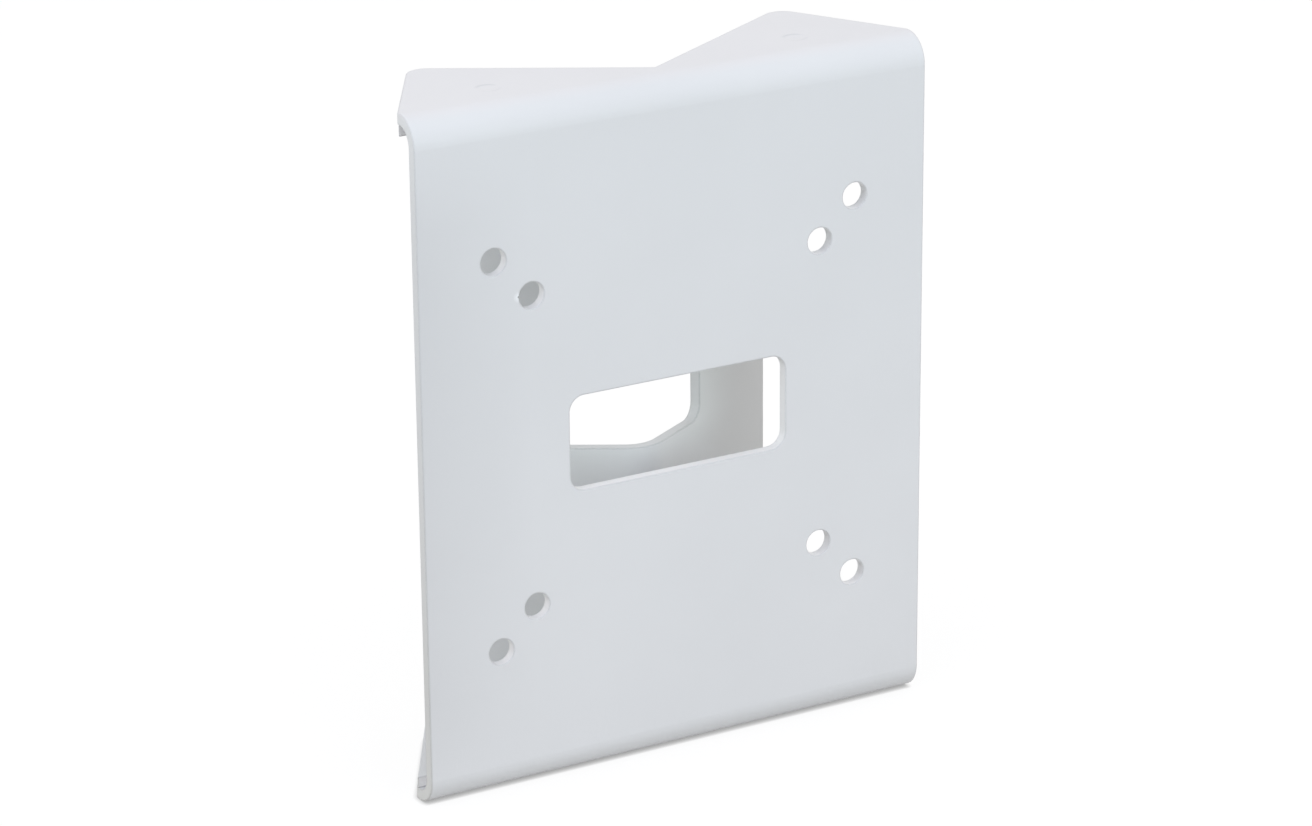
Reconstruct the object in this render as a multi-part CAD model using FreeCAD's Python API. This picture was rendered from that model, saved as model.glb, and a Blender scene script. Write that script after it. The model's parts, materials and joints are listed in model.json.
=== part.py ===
"""Pole mount bracket for a surveillance camera: two folded steel sheets, spot welded into one unit.

The face plate is one sheet: a tall front plate whose top and bottom edges are bent back as flanges.
The V back plate is the second sheet: two wings folded to 120 degrees that sit against the pole, with
tabs bent forward at the top and bottom of each wing. The tabs lie against the flanges' inner faces
and are spot welded there. Both sides stay open, so that the straps round the pole pass through.

Millimetres. +Z is up and the camera is fixed to the front face, which looks along -Y. The origin is
the centre of the hole patterns, on the front face.
"""
import FreeCAD, Part
import math
import os

from FreeCAD import Vector

# Sheet and front plate
sheet = 2.8                   # both sheets, with their coat
plate_width = 140.0
plate_height = 175.2          # over both flanges
plate_bend_inside = 4.5       # inside radius of the bends to the flanges

# Camera holes and window
outer_hole_pitch = 100.0      # square pattern
inner_hole_pitch = 80.0       # square pattern
hole_diameter = 6.8
window_width = 60.5
window_height = 24.5
window_corner = 4.0

# V back plate
wing_angle = 30.0             # each wing turns back this far from the plate's own plane
fold_depth = 14.6             # front face to the line where the wings' front faces would meet
fold_inside = 8.0             # inside radius of the fold between the wings
wing_inset = 0.3              # the wings end this far inside the flanges' side edges
tab_bend_inside = 3.0
tab_start = 10.0              # the tabs begin this far along the wing from the fold
tab_clearance = 0.3           # tab's front edge to the start of the flange's bend
opening_reach = 24.5          # cable opening, from the fold along each wing
opening_height = 23.0
opening_corner = 4.0

# Flanges
side_cut_start = 1.0          # straight length of flange behind its bend, before the sides turn in
notch_margin = 0.3            # the notch stops this far in front of the tab's bend
flange_corner = 5.0

# Spot welds, one for each tab, measured in the wing's own directions
weld_along = 37.3
weld_forward = 20.0
weld_diameter = 6.5
weld_depth = 0.25

# Cut edges, broken by deburring and softened by the powder coat
edge_break = 0.15
sharp_angle = 20.0            # faces that meet at more than this many degrees are a cut edge

# Sizes that follow from the ones above
half_width = plate_width / 2
half_height = plate_height / 2
plate_bend_outside = plate_bend_inside + sheet
tab_bend_outside = tab_bend_inside + sheet
tab_outer_face = half_height - sheet
cosine = math.cos(math.radians(wing_angle))
sine = math.sin(math.radians(wing_angle))
side_cut_y = plate_bend_outside + side_cut_start
side_cut_along = half_width * cosine + (side_cut_y - fold_depth) * sine
notch_forward = tab_bend_inside + notch_margin
wing_length = side_cut_along - wing_inset
through = plate_width         # longer than any cut has to be
same_place = edge_break / 500  # points closer than this are one point


def wing_point(along, forward, z=0.0):
    """A point on the right wing: along it from the fold, and forward of its front face."""
    x = along * cosine + forward * sine
    y = fold_depth + along * sine - forward * cosine
    return Vector(x, y, z)


def mirrored(shape):
    """The same shape on the other side of the middle."""
    return shape.mirror(Vector(0, 0, 0), Vector(1, 0, 0))


def upside_down(shape):
    """The same shape at the other end of the bracket."""
    return shape.mirror(Vector(0, 0, 0), Vector(0, 0, 1))


def prism(points, direction):
    """A straight-sided solid on a closed outline."""
    return Part.Face(Part.makePolygon(points + points[:1])).extrude(direction)


def rounded_prism(points, direction, radius, rounded):
    """A prism whose edges that start at the chosen points of the outline are rounded."""
    solid = prism(points, direction)
    starts = [points[index] for index in rounded]
    chosen = []
    for edge in solid.Edges:
        ends = [vertex.Point for vertex in edge.Vertexes]
        spans = abs((ends[1] - ends[0]).Length - direction.Length) < same_place
        if spans and any(min((end - start).Length for end in ends) < same_place for start in starts):
            chosen.append(edge)
    return solid.makeFillet(radius, chosen)


def folded_strip(outside, inside_radius):
    """The section of a sheet bent through one right angle, as a face.

    outside holds three points of the sheet's outer face: one end, the sharp corner, the other end.
    """
    first, corner, last = outside
    to_first = (first - corner).normalize()
    to_last = (last - corner).normalize()
    outer_radius = inside_radius + sheet
    centre = corner + (to_first + to_last) * outer_radius
    middle = (to_first + to_last).normalize()

    def arc(radius):
        start = centre - to_last * radius
        end = centre - to_first * radius
        return Part.Arc(start, centre - middle * radius, end).toShape()

    outer_start = centre - to_last * outer_radius
    outer_end = centre - to_first * outer_radius
    inner_start = centre - to_last * inside_radius
    inner_end = centre - to_first * inside_radius
    edges = [
        Part.LineSegment(first, outer_start).toShape(),
        arc(outer_radius),
        Part.LineSegment(outer_end, last).toShape(),
        Part.LineSegment(last, last + to_first * sheet).toShape(),
        Part.LineSegment(last + to_first * sheet, inner_end).toShape(),
        arc(inside_radius),
        Part.LineSegment(inner_start, first + to_last * sheet).toShape(),
        Part.LineSegment(first + to_last * sheet, first).toShape(),
    ]
    return Part.Face(Part.Wire(Part.__sortEdges__(edges)))


def plan_outline():
    """The face plate from above: full width in front, sides cut square to the wings, V notch behind."""
    corner = wing_point(side_cut_along, notch_forward)
    apex = Vector(0, fold_depth - notch_forward / cosine, 0)
    right = [Vector(half_width, 0, 0), Vector(half_width, side_cut_y, 0), corner]
    left = [Vector(-point.x, point.y, 0) for point in reversed(right)]
    points = [point - Vector(0, 0, half_height) for point in right + [apex] + left]
    return rounded_prism(points, Vector(0, 0, plate_height), flange_corner, [2, 4])


def camera_holes():
    """Eight through holes: two square patterns on one centre."""
    holes = []
    for pitch in (outer_hole_pitch, inner_hole_pitch):
        for side in (-1, 1):
            for level in (-1, 1):
                place = Vector(side * pitch / 2, -sheet, level * pitch / 2)
                holes.append(Part.makeCylinder(hole_diameter / 2, 3 * sheet, place, Vector(0, 1, 0)))
    return holes


def window():
    """The rounded window that the camera's cable comes through."""
    x = window_width / 2
    z = window_height / 2
    points = [Vector(-x, -sheet, -z), Vector(x, -sheet, -z), Vector(x, -sheet, z), Vector(-x, -sheet, z)]
    return rounded_prism(points, Vector(0, 3 * sheet, 0), window_corner, range(4))


def weld_dimple(face_height, up):
    """The shallow hollow that a welding electrode leaves in a horizontal face, on the right side.

    up is 1 where the hollow is in a top side and -1 where it is in an underside.
    """
    radius = ((weld_diameter / 2) ** 2 + weld_depth ** 2) / (2 * weld_depth)
    centre = wing_point(weld_along, weld_forward, face_height + up * (radius - weld_depth))
    cap_angle = math.degrees(math.asin(weld_diameter / 2 / radius))
    return Part.makeSphere(radius, centre, Vector(0, 0, up), -90, 2 * cap_angle - 90, 360)


def all_four(shape):
    """A feature of the top right corner, with its copies at the other three."""
    top = [shape, mirrored(shape)]
    return top + [upside_down(item) for item in top]


def middle_of(edge):
    return edge.valueAt((edge.FirstParameter + edge.LastParameter) / 2)


def cut_edges(shape):
    """Every edge where two faces meet at a real corner, and not as a smooth run from flat to bend."""
    chosen = []
    for edge in shape.Edges:
        middle = middle_of(edge)
        normals = [face.normalAt(*face.Surface.parameter(middle))
                   for face in shape.ancestorsOfType(edge, Part.Face)]
        if len(normals) == 2 and math.degrees(normals[0].getAngle(normals[1])) > sharp_angle:
            chosen.append(edge)
    return chosen


def face_plate():
    corner = Vector(-half_width, 0, half_height)
    half = folded_strip(
        [Vector(-half_width, 0, 0), corner, Vector(-half_width, through, half_height)], plate_bend_inside)
    top = half.extrude(Vector(plate_width, 0, 0))
    channel = top.fuse(upside_down(top)).removeSplitter()
    plate = channel.common(plan_outline())
    plate = plate.cut(camera_holes() + [window()])
    plate = plate.makeChamfer(edge_break, cut_edges(plate))
    return plate.cut(all_four(weld_dimple(half_height, 1)))


def wing_web():
    """Both wings and the fold between them, up to the start of the tabs' bends."""
    outer_radius = fold_inside + sheet
    bend_centre = fold_depth + outer_radius / cosine
    start = outer_radius * math.tan(math.radians(wing_angle))
    height = tab_outer_face - tab_bend_outside

    def arc(radius):
        ends = [Vector(side * radius * sine, bend_centre - radius * cosine, 0) for side in (-1, 1)]
        return Part.Arc(ends[0], Vector(0, bend_centre - radius, 0), ends[1]).toShape()

    def left(point):
        return Vector(-point.x, point.y, point.z)

    front = [wing_point(start, 0), wing_point(wing_length, 0)]
    back = [wing_point(start, -sheet), wing_point(wing_length, -sheet)]
    edges = [
        arc(outer_radius),
        Part.LineSegment(front[0], front[1]).toShape(),
        Part.LineSegment(front[1], back[1]).toShape(),
        Part.LineSegment(back[1], back[0]).toShape(),
        arc(fold_inside),
        Part.LineSegment(left(back[0]), left(back[1])).toShape(),
        Part.LineSegment(left(back[1]), left(front[1])).toShape(),
        Part.LineSegment(left(front[1]), left(front[0])).toShape(),
    ]
    section = Part.Face(Part.Wire(Part.__sortEdges__(edges)))
    section.translate(Vector(0, 0, -height))
    return section.extrude(Vector(0, 0, 2 * height))


def top_right_tab():
    """One tab with the wing below it, cut off parallel to the front plate, just behind the flange's bend."""
    section = folded_strip(
        [wing_point(tab_start, -sheet, 0), wing_point(tab_start, -sheet, tab_outer_face),
         wing_point(tab_start, through, tab_outer_face)],
        tab_bend_inside)
    tab = section.extrude(wing_point(wing_length, 0) - wing_point(tab_start, 0))
    front_y = plate_bend_outside + tab_clearance
    ahead = Part.makeBox(2 * through, 2 * through, plate_height)
    ahead.translate(Vector(-through, front_y - 2 * through, -half_height))
    return tab.cut(ahead)


def cable_opening():
    """The rounded opening across the fold, cut square to each wing."""
    z = opening_height / 2
    behind = -3 * sheet
    points = [wing_point(0, behind, -z), wing_point(opening_reach, behind, -z),
              wing_point(opening_reach, behind, z), wing_point(0, behind, z)]
    direction = wing_point(0, 0) - wing_point(0, 2 * behind)
    right = rounded_prism(points, direction, opening_corner, [1, 2])
    return [right, mirrored(right)]


def v_back_plate():
    """The folded web with its four tabs. The corners of the reliefs between the tabs stay sharp."""
    plate = wing_web().fuse(all_four(top_right_tab())).removeSplitter()
    plate = plate.cut(cable_opening())
    relief_edge = tab_outer_face - tab_bend_outside
    broken = []
    for edge in cut_edges(plate):
        levels = [abs(vertex.Z) for vertex in edge.Vertexes] + [abs(middle_of(edge).z)]
        if max(abs(level - relief_edge) for level in levels) > same_place:
            broken.append(edge)
    plate = plate.makeChamfer(edge_break, broken)
    return plate.cut(all_four(weld_dimple(tab_outer_face - sheet, -1)))


def save(shape, node):
    shape.exportStep(f"parts/{node}.step")
    print(node, "solids", len(shape.Solids), "valid", shape.isValid(), "volume", round(shape.Volume))


def main():
    os.makedirs("parts", exist_ok=True)
    save(face_plate(), "face_plate")
    save(v_back_plate(), "v_back_plate")


main()
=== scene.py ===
# %% [markdown]
# # A powder-coated pole mount bracket
#
# The bracket is two folded sheets of steel, spot welded into one unit and then sprayed with white powder
# that is baked into a skin. A tall face plate takes the camera, and a V-shaped back plate sits against a
# round pole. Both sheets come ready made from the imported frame, with their true bends, holes and broken
# edges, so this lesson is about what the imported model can't hold: the coat, the studio and the view.
#
# The frame is loaded first, because everything else is placed by it. Lengths are in metres, Z is up, and
# the camera side of the bracket looks along -Y.

# %% Load the frame
import json
import math

import bpy
from mathutils import Matrix, Vector

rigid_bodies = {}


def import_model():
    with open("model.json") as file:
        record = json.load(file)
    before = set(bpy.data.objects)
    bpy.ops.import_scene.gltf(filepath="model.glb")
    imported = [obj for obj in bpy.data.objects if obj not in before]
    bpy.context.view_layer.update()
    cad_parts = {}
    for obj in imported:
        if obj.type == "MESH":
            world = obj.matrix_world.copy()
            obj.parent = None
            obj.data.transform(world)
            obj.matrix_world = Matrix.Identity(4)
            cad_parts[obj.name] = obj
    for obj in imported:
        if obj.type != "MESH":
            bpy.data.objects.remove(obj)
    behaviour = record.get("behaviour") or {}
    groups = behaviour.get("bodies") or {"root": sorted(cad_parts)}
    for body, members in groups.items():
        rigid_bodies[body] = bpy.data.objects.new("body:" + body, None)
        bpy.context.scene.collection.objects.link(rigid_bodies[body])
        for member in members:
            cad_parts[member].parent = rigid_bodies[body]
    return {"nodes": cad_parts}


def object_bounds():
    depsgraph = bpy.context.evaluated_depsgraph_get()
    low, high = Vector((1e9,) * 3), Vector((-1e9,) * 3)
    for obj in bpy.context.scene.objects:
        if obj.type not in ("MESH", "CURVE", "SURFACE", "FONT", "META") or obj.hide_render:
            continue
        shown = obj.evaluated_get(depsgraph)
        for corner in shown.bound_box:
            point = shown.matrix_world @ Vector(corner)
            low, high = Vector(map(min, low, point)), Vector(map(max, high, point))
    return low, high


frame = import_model()
cad_low, cad_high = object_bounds()
nodes = frame["nodes"]
for name, item in nodes.items():
    print(name, "has", len(item.data.polygons), "faces")
print("the bracket is", [round(1000 * size, 1) for size in cad_high - cad_low], "mm")

# %% [markdown]
# A new Blender file may come with a cube, a lamp and a camera of its own. They would show up in the
# picture, so whatever isn't part of the frame is taken out. Nothing stays selected either, because an
# operator acts on all that is selected.

# %% Clear the table
for item in list(bpy.context.scene.objects):
    if item.type in {"MESH", "LIGHT", "CAMERA"} and item.name not in nodes:
        bpy.data.objects.remove(item)
bpy.ops.object.select_all(action="DESELECT")

# %% [markdown]
# A material in Blender is a small network of nodes. Writing one by hand takes three steps for each node:
# make it, set its values and wire it up. The next helper does all three. Where it is given another node's
# output in place of a value, it lays a wire. With it, each finish below reads as a short recipe.

# %% A helper that adds one node
def add(tree, kind, settings=None, **inputs):
    """A new node of that kind. settings are its own options, and inputs its sockets, by name or number."""
    node = tree.nodes.new("ShaderNode" + kind)
    for option, value in (settings or {}).items():
        setattr(node, option, value)
    for key, value in inputs.items():
        socket = node.inputs[int(key[1:])] if key[0] == "_" else node.inputs[key.replace("_", " ")]
        if isinstance(value, bpy.types.NodeSocket):
            tree.links.new(value, socket)
        else:
            socket.default_value = value
    return node


# %% [markdown]
# A few kinds of node come up again and again: a sum, an even ramp from one value to another, a colour
# laid over a colour, a length, and the two things that a pattern asks about the point being coloured,
# which are where it is on the piece and which way it faces. A name for each keeps the recipes readable.

# %% Helpers for the nodes that come up most
def compute(tree, operation, first, *second):
    """The result of one Math node, from numbers or other nodes' outputs."""
    values = dict(zip(("_0", "_1"), (first, *second)))
    return add(tree, "Math", {"operation": operation}, **values).outputs[0]


def ramp(tree, value, begins, ends, lowest=0.0, highest=1.0):
    """Climbs evenly from lowest, where the value is at begins, to highest, where it is at ends."""
    node = add(tree, "MapRange", Value=value, From_Min=begins, From_Max=ends, To_Min=lowest, To_Max=highest)
    return node.outputs[0]


def laid_over(tree, share, base, colour, blend="MIX"):
    """The base colour with a share of another colour mixed in or, with MULTIPLY, dimmed by it."""
    settings = {"data_type": "RGBA", "blend_type": blend}
    return add(tree, "Mix", settings, Factor=share, _6=base, _7=colour).outputs[2]


def own_place(tree):
    """The piece's own X, Y and Z at the point being coloured."""
    return add(tree, "SeparateXYZ", Vector=add(tree, "TexCoord").outputs["Object"]).outputs


def own_facing(tree):
    """The X, Y and Z of the way that the surface faces there."""
    return add(tree, "SeparateXYZ", Vector=add(tree, "NewGeometry").outputs["Normal"]).outputs


def length(tree, **sides):
    """The length of an arrow with those sides."""
    arrow = add(tree, "CombineXYZ", **sides).outputs[0]
    return add(tree, "VectorMath", {"operation": "LENGTH"}, _0=arrow).outputs["Value"]


# %% [markdown]
# An effect that both sheets share, such as the texture of the coat, is best kept in a node group: it is
# built once, has named inputs and outputs, and every material places it with its own values. The groups
# here hand out only colours, masks, heights and normals. The shader itself stays in each material, where
# an exporter can find it.

# %% A helper that starts a node group
SOCKET_KINDS = {float: "NodeSocketFloat", tuple: "NodeSocketColor", Vector: "NodeSocketVector"}


def new_group(name, inputs, outputs):
    """A group with those inputs, given as name and first value, and outputs, given as name and kind."""
    group = bpy.data.node_groups.new(name, "ShaderNodeTree")
    for title, value in inputs.items():
        socket = group.interface.new_socket(title, in_out="INPUT", socket_type=SOCKET_KINDS[type(value)])
        socket.default_value = value
    for title, kind in outputs.items():
        group.interface.new_socket(title, in_out="OUTPUT", socket_type=SOCKET_KINDS[kind])
    entry = group.nodes.new("NodeGroupInput")
    leave = group.nodes.new("NodeGroupOutput")
    return group, entry.outputs, leave.inputs


# %% [markdown]
# ## The texture of the coat
#
# Powder coat never dries as flat as glass. The grains melt together and leave a gentle swell about a
# millimetre and a half across, which painters call orange peel, with a much finer grain on top. It could
# be modelled as real relief, but at a few hundredths of a millimetre that is wasted geometry: a bump map
# made from two noises shows it in the highlights and costs nothing.

# %% Orange peel
SWELL_SCALE = 700.0
peel, given, result = new_group(
    "orange peel", {"Swell Scale": SWELL_SCALE, "Grain Scale": 3600.0, "Grain Share": 0.25},
    {"Height": float})
place = add(peel, "TexCoord").outputs["Object"]
swell = add(peel, "TexNoise", Vector=place, Scale=given["Swell Scale"], Detail=1.0, Roughness=0.4)
grain = add(peel, "TexNoise", Vector=place, Scale=given["Grain Scale"], Detail=2.0, Roughness=0.5)
grain_part = compute(peel, "MULTIPLY", grain.outputs["Fac"], given["Grain Share"])
peel.links.new(compute(peel, "ADD", swell.outputs["Fac"], grain_part), result["Height"])
print("orange peel swells are about", round(1000 / SWELL_SCALE, 1), "mm across")

# %% [markdown]
# ## The colour of the coat
#
# White powder isn't one flat white. The layer is a little thicker here and thinner there, so broad soft
# clouds of tone run across a sheet, and here and there a grain of dust is baked in as a tiny grey speck.
# Noise makes the clouds. For the specks, Voronoi cells give each speck a place of its own, and a second
# look at the cell's random colour keeps only a few of them, because a speck in every cell looks printed.

# %% Clouds and specks
SPECK_CELLS = 55.0
tone, given, result = new_group(
    "coat colour",
    {"Thick": (0.8, 0.8, 0.8, 1.0), "Thin": (0.75, 0.75, 0.75, 1.0), "Speck": (0.35, 0.34, 0.33, 1.0),
     "Cloud Scale": 16.0, "Thin Up To": 0.32, "Thick From": 0.68,
     "Cell Scale": SPECK_CELLS, "Speck Size": 0.014, "Kept": 0.2},
    {"Color": tuple})
place = add(tone, "TexCoord").outputs["Object"]
cloud = add(tone, "TexNoise", Vector=place, Scale=given["Cloud Scale"], Detail=3.0, Roughness=0.55)
thickness = ramp(tone, cloud.outputs["Fac"], given["Thin Up To"], given["Thick From"])
clouded = laid_over(tone, thickness, given["Thin"], given["Thick"])
cells = add(tone, "TexVoronoi", Vector=place, Scale=given["Cell Scale"])
near = compute(tone, "LESS_THAN", cells.outputs["Distance"], given["Speck Size"])
chance = add(tone, "SeparateColor", Color=cells.outputs["Color"]).outputs[0]
chosen = compute(tone, "LESS_THAN", chance, given["Kept"])
speck = compute(tone, "MULTIPLY", near, chosen)
tone.links.new(laid_over(tone, speck, clouded, given["Speck"]), result["Color"])
print("specks lie in cells of about", round(1000 / SPECK_CELLS), "mm")

# %% [markdown]
# ## Edges
#
# Molten powder pulls back from a sharp corner and rounds it. The sheets already have their edges broken,
# and this group softens what is left: a Bevel node looks at the surface nearby and blends the normals, so
# that light rolls over an edge in place of snapping. Where that blended normal leans away from the true
# one there is an edge, and the same comparison gives a mask for a darker grey along the edges: a coat a
# shade thinner there, and painted shade.

# %% Soft edges
SOFTENING = 0.0006
edges, given, result = new_group(
    "soft edges", {"Radius": SOFTENING, "Flat": 0.995, "Sharp": 0.85}, {"Normal": Vector, "Edge": float})
rounded = add(edges, "Bevel", {"samples": 6}, Radius=given["Radius"]).outputs[0]
true_normal = add(edges, "NewGeometry").outputs["Normal"]
agreement = add(edges, "VectorMath", {"operation": "DOT_PRODUCT"}, _0=rounded, _1=true_normal)
edges.links.new(rounded, result["Normal"])
edges.links.new(ramp(edges, agreement.outputs["Value"], given["Flat"], given["Sharp"]), result["Edge"])
print("edges are softened over", round(1000 * SOFTENING, 1), "mm")

# %% [markdown]
# ## Painted light and shade on the coat
#
# Three ramps paint in light and shade that the lamps leave out. Seen from the front, over the last three
# centimetres towards the left edge the white is painted a shade greyer, though not at the bends: painted
# shade, as the light falls off towards that side. The narrow left side is painted darker still, and more
# and more towards the bottom. Near the top of the front, up to the flange, each colour is dimmed a little,
# red most and blue least: a painted trace of cool light from above. Ramps along the object's own axes give
# all three: how far a point is into the greyer strip or onto the side, and how high up it is.

# %% Painted shade and cool light
STRIP_BEGINS = -0.040
light_and_shade_ramps, given, result = new_group(
    "painted light and shade ramps",
    {"Strip Begins": STRIP_BEGINS, "Strip Ends": -0.074, "Bend Height": 0.086, "Flat Height": 0.060,
     "Side Begins": -0.0695, "Side Ends": -0.0699, "Side Shade Begins": 0.030, "Side Shade Ends": -0.086,
     "Cool Light Begins": -0.080, "Cool Light Ends": 0.080, "Flange Height": 0.0875},
    {"Left Shade": float, "Side Shade": float, "Top Cool Light": float})
place = own_place(light_and_shade_ramps)
into_strip = ramp(light_and_shade_ramps, place["X"], given["Strip Begins"], given["Strip Ends"])
off_bends = ramp(light_and_shade_ramps, compute(light_and_shade_ramps, "ABSOLUTE", place["Z"]), given["Bend Height"], given["Flat Height"])
on_side = ramp(light_and_shade_ramps, place["X"], given["Side Begins"], given["Side Ends"])
low_down = ramp(light_and_shade_ramps, place["Z"], given["Side Shade Begins"], given["Side Shade Ends"])
high_up = ramp(light_and_shade_ramps, place["Z"], given["Cool Light Begins"], given["Cool Light Ends"])
below_flange = ramp(light_and_shade_ramps, place["Z"], given["Flange Height"], given["Bend Height"])
for title, ramps in {"Left Shade": (into_strip, off_bends), "Side Shade": (on_side, low_down),
                     "Top Cool Light": (high_up, below_flange)}.items():
    light_and_shade_ramps.links.new(compute(light_and_shade_ramps, "MULTIPLY", *ramps), result[title])
print("the greyer strip is", round(1000 * (STRIP_BEGINS - cad_low.x)), "mm wide")

# %% [markdown]
# ## Painted light on cut walls
#
# Inside the camera holes and the window, and on the front edges of the back plate's tabs, the colour is
# set whiter than on the flat: painted light on these walls. On the face plate these walls are the only
# surfaces near the front plane that don't face along Y, as long as the outer sides and the bends are left
# out. On the back plate they are the only ones that face straight forward, above and below the wings. A
# few comparisons find them in both sheets.

# %% Walls of the holes and the window
def is_within(tree, coordinate, limit):
    """1 where a coordinate lies nearer to zero than the limit, 0 elsewhere."""
    return compute(tree, "LESS_THAN", compute(tree, "ABSOLUTE", coordinate), limit)


painted_light_walls, given, result = new_group(
    "cut walls", {"Sheet": 0.0029, "Inside Width": 0.069, "Inside Height": 0.079, "Sideways": 0.5},
    {"Wall": float})
place = own_place(painted_light_walls)
wall = is_within(painted_light_walls, own_facing(painted_light_walls)["Y"], given["Sideways"])
for axis, limit in {"X": "Inside Width", "Y": "Sheet", "Z": "Inside Height"}.items():
    wall = compute(painted_light_walls, "MULTIPLY", wall, is_within(painted_light_walls, place[axis], given[limit]))
painted_light_walls.links.new(wall, result["Wall"])
print("cut walls take", len(painted_light_walls.nodes), "nodes")

# %% Front edges of the tabs
painted_light_tab_ends, given, result = new_group("tab ends", {"Tab Height": 0.0805, "Forward": -0.95}, {"Wall": float})
height = compute(painted_light_tab_ends, "ABSOLUTE", own_place(painted_light_tab_ends)["Z"])
at_tab = compute(painted_light_tab_ends, "GREATER_THAN", height, given["Tab Height"])
forward = compute(painted_light_tab_ends, "LESS_THAN", own_facing(painted_light_tab_ends)["Y"], given["Forward"])
painted_light_tab_ends.links.new(compute(painted_light_tab_ends, "MULTIPLY", at_tab, forward), result["Wall"])
print("tab ends take", len(painted_light_tab_ends.nodes), "nodes")

# %% [markdown]
# ## Painted shade round the welds
#
# Each tab is held to its flange by one spot weld. The electrode leaves a shallow dimple, which the packed
# sheets have, but its gentle slopes hardly show in even light. Two faint arcs of painted shade on its rim
# stand in for that shading, most of all the one away from the front. The ring is the set of points at one
# distance from the weld's middle, on the outer faces of the flanges, and the arcs are the parts of it that
# lie far enough in front or behind. Both sides are done at once by dropping the sign of X.

# %% Rings round the welds
WELD_X = 0.0423
WELD_Y = 0.0159
WELD_RING = 0.0027
SKIN = 0.0006
weld_shade_arcs, given, result = new_group(
    "painted weld shade",
    {"Middle X": WELD_X, "Middle Y": WELD_Y, "Ring": WELD_RING, "Ring Width": 0.0007, "Front Share": 0.45},
    {"Mark": float})
place = own_place(weld_shade_arcs)
across = compute(weld_shade_arcs, "SUBTRACT", compute(weld_shade_arcs, "ABSOLUTE", place["X"]), given["Middle X"])
behind = compute(weld_shade_arcs, "SUBTRACT", place["Y"], given["Middle Y"])
beside = compute(weld_shade_arcs, "SUBTRACT", length(weld_shade_arcs, X=across, Y=behind), given["Ring"])
ring = ramp(weld_shade_arcs, compute(weld_shade_arcs, "ABSOLUTE", beside), given["Ring Width"], 0.0)
rear = ramp(weld_shade_arcs, behind, -WELD_RING, WELD_RING / 2, lowest=given["Front Share"])
arcs = ramp(weld_shade_arcs, compute(weld_shade_arcs, "ABSOLUTE", behind), WELD_RING / 4, WELD_RING * 0.9)
shaded = compute(weld_shade_arcs, "MULTIPLY", ring, compute(weld_shade_arcs, "MULTIPLY", rear, arcs))
outside = compute(weld_shade_arcs, "GREATER_THAN", compute(weld_shade_arcs, "ABSOLUTE", place["Z"]), cad_high.z - SKIN)
weld_shade_arcs.links.new(compute(weld_shade_arcs, "MULTIPLY", shaded, outside), result["Mark"])
print("weld rings are", round(2000 * WELD_RING, 1), "mm across")

# %% [markdown]
# ## A hook mark
#
# In the oven the bracket hangs from a wire hook. The wire went through the upper inner hole on the left
# and left its mark on the rim: a small bare notch, with a white bead of powder round it. The notch is a
# dot about a point on the rim, and the bead a wider one that fades outwards.

# %% Bead and notch on a rim
BEAD = 0.0015
hooks, given, result = new_group(
    "hook mark", {"Rim X": -0.0435, "Rim Z": 0.0402, "Bead": BEAD, "Notch": 0.0003},
    {"Bead Mask": float, "Notch Mask": float})
place = own_place(hooks)
beside = compute(hooks, "SUBTRACT", place["X"], given["Rim X"])
above = compute(hooks, "SUBTRACT", place["Z"], given["Rim Z"])
reach = length(hooks, X=beside, Z=above)
hooks.links.new(ramp(hooks, reach, given["Bead"], given["Notch"]), result["Bead Mask"])
hooks.links.new(compute(hooks, "LESS_THAN", reach, given["Notch"]), result["Notch Mask"])
print("the bead fades out over", round(1000 * BEAD, 1), "mm")

# %% [markdown]
# ## The finish of both sheets
#
# One powder, one oven: both sheets share a recipe, and only a few values differ. The back plate's colour
# is set a touch greyer than the face plate's, as painted shade for the shade it sits in behind the face
# plate, and its coat is a touch rougher. The gloss is a satin one, and its roughness varies in soft
# patches, as a real coat's does. Edges are laid a darker grey, a thinner coat there and painted shade: all
# those of the face plate, but on the back plate only the rim of the cable opening. Values that are the same
# all over are set straight on the shader. The colour is built up from the coat itself to the marks left on
# it, with painted light and shade laid in along the way.

# %% Powder coat
WELD_PAINTED_SHADE = (0.86, 0.87, 0.88, 1)
BEAD_WHITE = (0.97, 0.98, 1.0, 1)
NOTCH_GREY = (0.5, 0.5, 0.5, 1)
SIDE_PAINTED_SHADE = (0.85, 0.845, 0.81, 1)
THIN_COAT_AND_SHADE_ELSEWHERE = 0.2
THIN_COAT_AND_SHADE_FADE = 0.004
PATCH_SCALE = 30.0
PATCH_RANGE = (0.3, 0.7)


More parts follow.
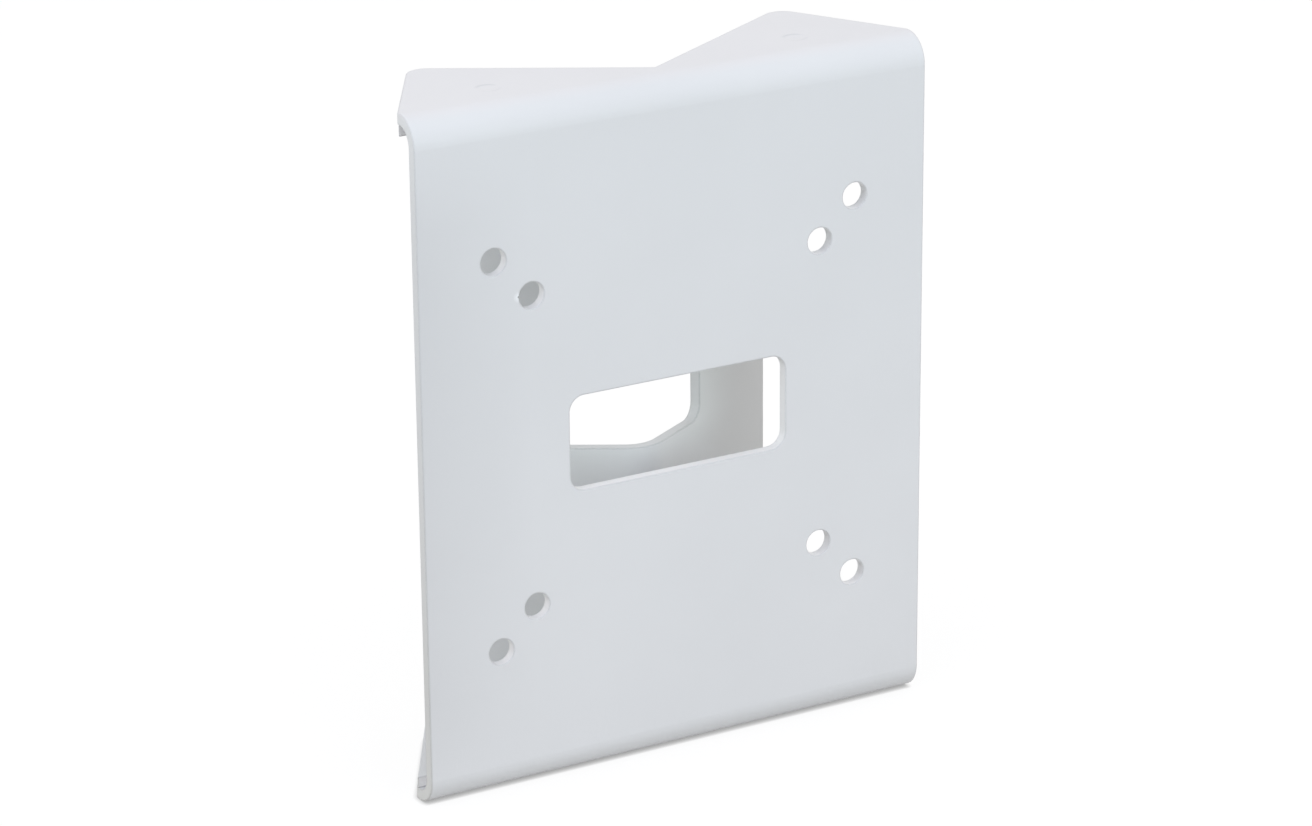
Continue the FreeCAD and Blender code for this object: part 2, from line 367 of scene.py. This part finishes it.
def powder_coat(name, thick, thin, gloss, rough, peel_depth, thin_coat_and_shade_colour, thin_coat_and_shade_within, painted_light_mask, painted_light_colour,
                left_painted_shade, top_painted_cool_light):
    """A satin powder coat. gloss and rough are its lowest and highest roughness, peel_depth is in metres.

    Edges nearer to the middle height than the given height take the given edge colour in full, and the
    others only in part: a thinner coat there, and painted shade along the edges. The surfaces that the
    given mask group finds take the given whiter colour, as painted light. The left edge keeps the given
    share of its brightness, as painted shade, and the top the given share of each colour, as a painted
    trace of cool light.
    """
    material = bpy.data.materials.new(name)
    material.use_nodes = True
    tree = material.node_tree
    edge = add(tree, "Group", {"node_tree": edges}).outputs
    hook = add(tree, "Group", {"node_tree": hooks}).outputs
    light_and_shade = add(tree, "Group", {"node_tree": light_and_shade_ramps}).outputs
    wall = add(tree, "Group", {"node_tree": painted_light_mask}).outputs["Wall"]
    weld = add(tree, "Group", {"node_tree": weld_shade_arcs}).outputs["Mark"]
    # Edges take a darker grey, a thinner coat there and painted shade along the edges: in full near the
    # middle height, and in part elsewhere.
    thin_coat_and_shade_reach = ramp(tree, compute(tree, "ABSOLUTE", own_place(tree)["Z"]), thin_coat_and_shade_within + THIN_COAT_AND_SHADE_FADE, thin_coat_and_shade_within,
                   lowest=THIN_COAT_AND_SHADE_ELSEWHERE)
    thin_coat_and_shade = compute(tree, "MULTIPLY", edge["Edge"], thin_coat_and_shade_reach)

    colour = add(tree, "Group", {"node_tree": tone}, Thick=thick, Thin=thin).outputs["Color"]
    # The cut walls and the tab ends take a whiter colour: painted light.
    colour = laid_over(tree, wall, colour, painted_light_colour)
    colour = laid_over(tree, thin_coat_and_shade, colour, thin_coat_and_shade_colour)
    # Painted shade in two arcs round each weld dimple.
    colour = laid_over(tree, weld, colour, WELD_PAINTED_SHADE, "MULTIPLY")
    colour = laid_over(tree, hook["Bead Mask"], colour, BEAD_WHITE)
    colour = laid_over(tree, hook["Notch Mask"], colour, NOTCH_GREY)
    # Painted shade towards the left edge and on the left side, and a painted trace of cool light at the top.
    colour = laid_over(tree, light_and_shade["Left Shade"], colour, (left_painted_shade, left_painted_shade, left_painted_shade, 1), "MULTIPLY")
    colour = laid_over(tree, light_and_shade["Side Shade"], colour, SIDE_PAINTED_SHADE, "MULTIPLY")
    colour = laid_over(tree, light_and_shade["Top Cool Light"], colour, top_painted_cool_light, "MULTIPLY")

    place = add(tree, "TexCoord").outputs["Object"]
    patches = add(tree, "TexNoise", Vector=place, Scale=PATCH_SCALE, Detail=4.0)
    roughness = ramp(tree, patches.outputs["Fac"], *PATCH_RANGE, gloss, rough)
    texture = add(tree, "Group", {"node_tree": peel}).outputs["Height"]
    bump = add(tree, "Bump", Strength=1.0, Distance=peel_depth, Height=texture, Normal=edge["Normal"])

    shader = tree.nodes["Principled BSDF"]
    shader.inputs["IOR"].default_value = 1.5
    tree.links.new(colour, shader.inputs["Base Color"])
    tree.links.new(roughness, shader.inputs["Roughness"])
    tree.links.new(bump.outputs[0], shader.inputs["Normal"])
    return material


face_coat = powder_coat(
    "face plate coat", thick=(0.805, 0.81, 0.822, 1), thin=(0.78, 0.785, 0.797, 1), gloss=0.36, rough=0.46,
    peel_depth=0.00002, thin_coat_and_shade_colour=(0.64, 0.64, 0.65, 1), thin_coat_and_shade_within=0.1, painted_light_mask=painted_light_walls,
    painted_light_colour=(0.92, 0.92, 0.92, 1), left_painted_shade=0.90, top_painted_cool_light=(0.975, 0.995, 1.0, 1))
# The back plate's colours are a touch darker than the face plate's: painted shade.
back_coat_and_shade = powder_coat(
    "back plate coat with painted shade", thick=(0.79, 0.80, 0.80, 1), thin=(0.765, 0.78, 0.79, 1), gloss=0.42, rough=0.54,
    peel_depth=0.00003, thin_coat_and_shade_colour=(0.50, 0.505, 0.51, 1), thin_coat_and_shade_within=0.013, painted_light_mask=painted_light_tab_ends,
    painted_light_colour=(0.95, 0.95, 0.95, 1), left_painted_shade=0.97, top_painted_cool_light=(0.99, 1.0, 1.0, 1))
for name, coat in {"face_plate": face_coat, "v_back_plate": back_coat_and_shade}.items():
    nodes[name].data.materials[0] = coat
    print(name, "wears", coat.name)

# %% [markdown]
# ## The floor
#
# The bracket stands on a plain pale sweep. A photographer gets a pure white ground by lighting it more
# than the object. Here the lamps stay at a plain level, and the floor is told to look white only to the
# view and to reflections: it glows, and takes a little of the lamps' light, so the shadow that the
# bracket drops stays as a soft grey. To every other ray it is a light grey floor. How much light it
# bounces up matters a lot on a white object: a whiter floor lights the lower bend from below until its
# dark underline is gone, and with it the look of a heavy thing that stands on a table.
#
# The last millimetre before the metal is darker still. A glowing floor would lose that contact shadow, so
# an Ambient Occlusion node with a very short reach dims the glow close to the bracket. Seen from
# underneath the floor lets the view through, so that the bracket can be looked at from below. It lies a
# hair lower than the bracket, because two surfaces in one plane flicker.

# %% White floor
FLOOR_RADIUS = 6.0
FLOOR_COLOUR = (0.49, 0.47, 0.455, 1)
GLOW = 0.89
SHADOW_SHARE = 0.13
CONTACT_REACH = 0.0014
CONTACT_GLOW = 0.30
HAIR = 0.00002


def looked_at(tree):
    """1 for the rays of the view and of reflections, and 0 for those that carry light."""
    path = add(tree, "LightPath").outputs
    return compute(tree, "MAXIMUM", path["Is Camera Ray"], path["Is Glossy Ray"])


bpy.ops.mesh.primitive_circle_add(vertices=96, radius=FLOOR_RADIUS, fill_type="NGON",
                                  location=(0, 0, cad_low.z - HAIR))
floor = bpy.context.object
floor.name = "floor"
white_floor = bpy.data.materials.new("white floor")
white_floor.use_nodes = True
tree = white_floor.node_tree
tree.nodes.clear()
plain = add(tree, "BsdfDiffuse", Color=FLOOR_COLOUR)
shaded = add(tree, "BsdfDiffuse", Color=(SHADOW_SHARE, SHADOW_SHARE, SHADOW_SHARE, 1))
open_sky = add(tree, "AmbientOcclusion", {"samples": 16}, Distance=CONTACT_REACH)
near_glow = ramp(tree, open_sky.outputs["AO"], 0.0, 1.0, CONTACT_GLOW, GLOW)
glow = add(tree, "Emission", Color=(1, 1, 1, 1), Strength=near_glow)
seen = add(tree, "AddShader", _0=shaded.outputs[0], _1=glow.outputs[0])
top_side = add(tree, "MixShader", _0=looked_at(tree), _1=plain.outputs[0], _2=seen.outputs[0])
clear = add(tree, "BsdfTransparent")
underside = add(tree, "NewGeometry").outputs["Backfacing"]
both_sides = add(tree, "MixShader", _0=underside, _1=top_side.outputs[0], _2=clear.outputs[0])
add(tree, "OutputMaterial", Surface=both_sides.outputs[0])
floor.data.materials.append(white_floor)
print("the floor lies at", round(1000 * floor.location.z, 2), "mm")

# %% [markdown]
# ## The studio
#
# White on white is hard to light: with flat light the shape vanishes, and with hard light it turns grey.
# Small white goods are mostly shot in a tent of white cloth, and so is this one. The tent gives nearly
# all of the light, from every side, and the shape is then told by what each surface can't see: the wings
# behind the window turn grey because the face plate hides most of the tent from them. Five wide soft
# lamps add the rest: a cool one low in front, which reaches through the window, two weak ones from the
# left, a breath of blue from above and a little from the right. None is brighter than a white card needs.

# %% Even light from the tent
TENT = 0.80
world = bpy.data.worlds.new("studio")
world.use_nodes = True
bpy.context.scene.world = world
tree = world.node_tree
tree.nodes.clear()
tent = add(tree, "Background", Color=(1.0, 0.99, 1.0, 1), Strength=TENT)
white = add(tree, "Background", Color=(1, 1, 1, 1), Strength=1.0)
choice = add(tree, "MixShader", _0=looked_at(tree), _1=tent.outputs[0], _2=white.outputs[0])
add(tree, "OutputWorld", Surface=choice.outputs[0])
print("the tent lights a white card to", TENT)

# %% Soft lamps
AIM = Vector((0, 0.01, 0))
LAMP_DISTANCE = 1.6
LAMP_WIDTH = 1.0


def soft_lamp(name, azimuth, elevation, level, colour):
    """A round soft lamp aimed at the bracket. level is how bright it makes a white card that faces it."""
    light = bpy.data.lights.new(name, "AREA")
    light.shape = "DISK"
    light.size = LAMP_WIDTH
    light.color = colour
    light.energy = level * (math.pi * LAMP_DISTANCE) ** 2
    turn, rise = math.radians(azimuth), math.radians(elevation)
    away = Vector((math.sin(turn) * math.cos(rise), -math.cos(turn) * math.cos(rise), math.sin(rise)))
    lamp = bpy.data.objects.new(name, light)
    bpy.context.scene.collection.objects.link(lamp)
    lamp.location = AIM + away * LAMP_DISTANCE
    lamp.rotation_euler = (-away).to_track_quat("-Z", "Y").to_euler()
    lamp.visible_camera = False
    print(name, "at", [round(value, 2) for value in lamp.location], round(light.energy, 1), "W")


soft_lamp("front low", azimuth=5, elevation=8, level=0.22, colour=(0.80, 0.97, 0.97))
soft_lamp("left", azimuth=-95, elevation=12, level=0.15, colour=(0.87, 1.0, 0.93))
soft_lamp("left high", azimuth=-60, elevation=45, level=0.11, colour=(0.75, 0.77, 1.0))
soft_lamp("front high", azimuth=0, elevation=50, level=0.08, colour=(0.68, 0.70, 1.0))
soft_lamp("right", azimuth=95, elevation=15, level=0.06, colour=(1.0, 0.95, 0.6))

# %% [markdown]
# ## The view
#
# The picture is taken from the left and from above, with a long lens that keeps the upright edges almost
# parallel. The place, the turn and the lens were worked out together, so that the corners and holes of
# the bracket fall where the reference picture has them.

# %% Camera
LENS = 123.6
CAMERA_PLACE = Vector((-0.5081, -0.8957, 0.38947))
CAMERA_TURN = math.radians(29.25)
CAMERA_TILT = math.radians(20.59)
CAMERA_ROLL = math.radians(-0.49)
view_camera = bpy.data.cameras.new("view")
view_camera.lens = LENS
view_camera.sensor_width = 36
view_camera.sensor_fit = "HORIZONTAL"
view_camera.clip_end = 50
camera = bpy.data.objects.new("view", view_camera)
bpy.context.scene.collection.objects.link(camera)
turned = Matrix.Rotation(-CAMERA_TURN, 4, "Z")
tilted = Matrix.Rotation(math.pi / 2 - CAMERA_TILT, 4, "X")
rolled = Matrix.Rotation(CAMERA_ROLL, 4, "Z")
camera.matrix_world = Matrix.Translation(CAMERA_PLACE) @ turned @ tilted @ rolled
bpy.context.scene.camera = camera
bpy.context.scene.view_settings.view_transform = "Standard"
print("the camera stands", round(CAMERA_PLACE.length, 3), "m from the middle of the face")
